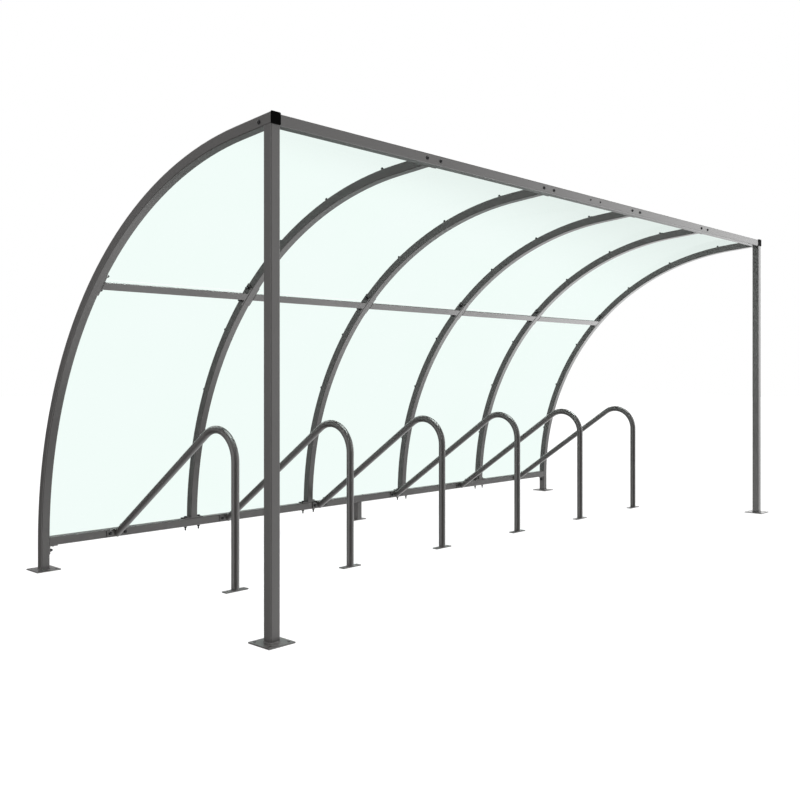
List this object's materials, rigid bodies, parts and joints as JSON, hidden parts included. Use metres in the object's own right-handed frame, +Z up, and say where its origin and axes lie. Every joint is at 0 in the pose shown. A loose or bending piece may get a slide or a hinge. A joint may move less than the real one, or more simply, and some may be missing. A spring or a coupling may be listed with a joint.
{
  "type": "bike shelter",
  "caption": "Open-fronted bike shelter: rolled square-tube ribs under clear curved sheets, over a row of bent tube hoops for locking bicycles.",
  "frame": {"origin": "middle of the footprint, on the ground", "axes": "+X along the shelter, +Y from the open front to the back, +Z up"},
  "size_m": [5.14, 2.23, 2.2216],
  "materials": {
    "steel": "dark grey satin powder coat",
    "sheet": "clear plastic sheet, pale mint at the edges",
    "cap": "black moulded plastic"
  },
  "bodies": {
    "root": {"base_plate_front_left": "steel", "base_plate_front_right": "steel", "base_plate_rear_left": "steel", "base_plate_rear_right": "steel", "base_plate_centre": "steel", "centre_foot": "steel", "front_post_left": "steel", "front_post_right": "steel", "rib_1": "steel", "rib_2": "steel", "rib_3": "steel", "rib_4": "steel", "rib_5": "steel", "rib_6": "steel", "top_beam_left": "steel", "top_beam_right": "steel", "bottom_rail_left": "steel", "bottom_rail_right": "steel", "splice_sleeves": "steel", "beam_brackets": "steel", "rail_brackets": "steel", "rib_foot_flanges": "steel", "rib_top_flanges": "steel", "mid_rails": "steel", "mid_rail_flanges": "steel", "hoop_1": "steel", "hoop_2": "steel", "hoop_3": "steel", "hoop_4": "steel", "hoop_5": "steel", "hoop_6": "steel", "hoop_foot_plates": "steel", "hoop_rail_plates": "steel", "upper_sheet_1": "sheet", "upper_sheet_2": "sheet", "upper_sheet_3": "sheet", "upper_sheet_4": "sheet", "upper_sheet_5": "sheet", "lower_sheet_1": "sheet", "lower_sheet_2": "sheet", "lower_sheet_3": "sheet", "lower_sheet_4": "sheet", "lower_sheet_5": "sheet", "end_cap_left": "cap", "end_cap_right": "cap"}
  },
  "joints": []
}
